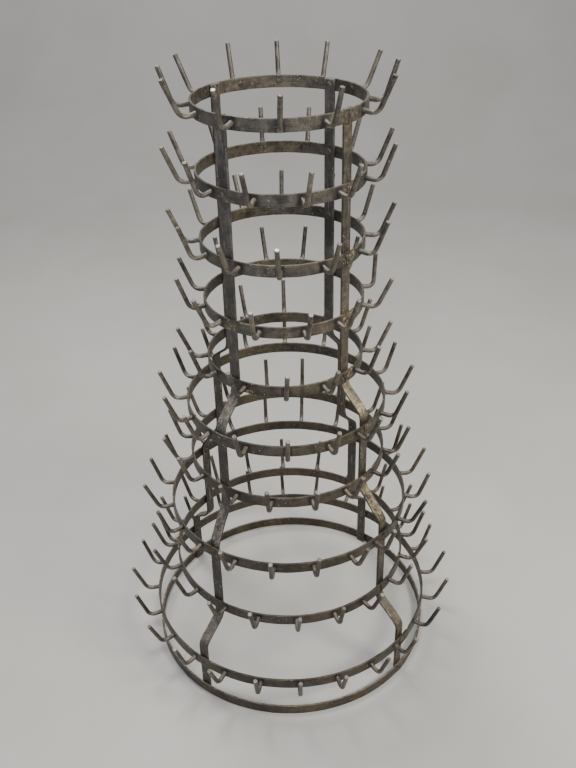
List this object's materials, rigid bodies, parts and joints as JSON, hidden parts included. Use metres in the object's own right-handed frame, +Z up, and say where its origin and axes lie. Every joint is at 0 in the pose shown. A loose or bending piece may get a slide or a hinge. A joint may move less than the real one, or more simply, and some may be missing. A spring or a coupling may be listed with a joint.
{
  "type": "bottle drying rack",
  "caption": "Free-standing tiered iron rack: riveted hoops on four flat stepped uprights, widening to the floor, with outward bent rod hooks on which upturned bottles drain.",
  "frame": {"origin": "centre of the rack's outline, on the floor", "axes": "+Z up; the front of the rack is toward -Y and +X is to its right seen from the front"},
  "size_m": [0.7087, 0.7072, 1.2254],
  "materials": {
    "hoop_iron": "old forged strip and rod, dark grey-brown, semi-matt, dusty, with rusty spots and bright worn rod ends",
    "base_iron": "old forged strip, dark grey-brown with floor dust and rust along the edges",
    "bar_iron": "old forged flat bar, dark grey-brown, rubbed paler and golden brown where it slopes outward",
    "rivet_iron": "hammered round rivet heads, dark and rusty"
  },
  "bodies": {
    "root": {"hooked_hoop_01": "hoop_iron", "hooked_hoop_02": "hoop_iron", "hooked_hoop_03": "hoop_iron", "hooked_hoop_04": "hoop_iron", "hooked_hoop_05": "hoop_iron", "hooked_hoop_06": "hoop_iron", "hooked_hoop_07": "hoop_iron", "hooked_hoop_08": "hoop_iron", "hooked_hoop_09": "hoop_iron", "hooked_hoop_10": "hoop_iron", "base_hoop": "base_iron", "upright_front_left": "bar_iron", "upright_front_right": "bar_iron", "upright_back_right": "bar_iron", "upright_back_left": "bar_iron", "rivet_front_left_01": "rivet_iron", "rivet_front_left_02": "rivet_iron", "rivet_front_left_03": "rivet_iron", "rivet_front_left_04": "rivet_iron", "rivet_front_left_05": "rivet_iron", "rivet_front_left_06": "rivet_iron", "rivet_front_left_07": "rivet_iron", "rivet_front_left_08": "rivet_iron", "rivet_front_left_09": "rivet_iron", "rivet_front_left_10": "rivet_iron", "rivet_front_left_11": "rivet_iron", "rivet_front_right_01": "rivet_iron", "rivet_front_right_02": "rivet_iron", "rivet_front_right_03": "rivet_iron", "rivet_front_right_04": "rivet_iron", "rivet_front_right_05": "rivet_iron", "rivet_front_right_06": "rivet_iron", "rivet_front_right_07": "rivet_iron", "rivet_front_right_08": "rivet_iron", "rivet_front_right_09": "rivet_iron", "rivet_front_right_10": "rivet_iron", "rivet_front_right_11": "rivet_iron", "rivet_back_right_01": "rivet_iron", "rivet_back_right_02": "rivet_iron", "rivet_back_right_03": "rivet_iron", "rivet_back_right_04": "rivet_iron", "rivet_back_right_05": "rivet_iron", "rivet_back_right_06": "rivet_iron", "rivet_back_right_07": "rivet_iron", "rivet_back_right_08": "rivet_iron", "rivet_back_right_09": "rivet_iron", "rivet_back_right_10": "rivet_iron", "rivet_back_right_11": "rivet_iron", "rivet_back_left_01": "rivet_iron", "rivet_back_left_02": "rivet_iron", "rivet_back_left_03": "rivet_iron", "rivet_back_left_04": "rivet_iron", "rivet_back_left_05": "rivet_iron", "rivet_back_left_06": "rivet_iron", "rivet_back_left_07": "rivet_iron", "rivet_back_left_08": "rivet_iron", "rivet_back_left_09": "rivet_iron", "rivet_back_left_10": "rivet_iron", "rivet_back_left_11": "rivet_iron"}
  },
  "joints": []
}
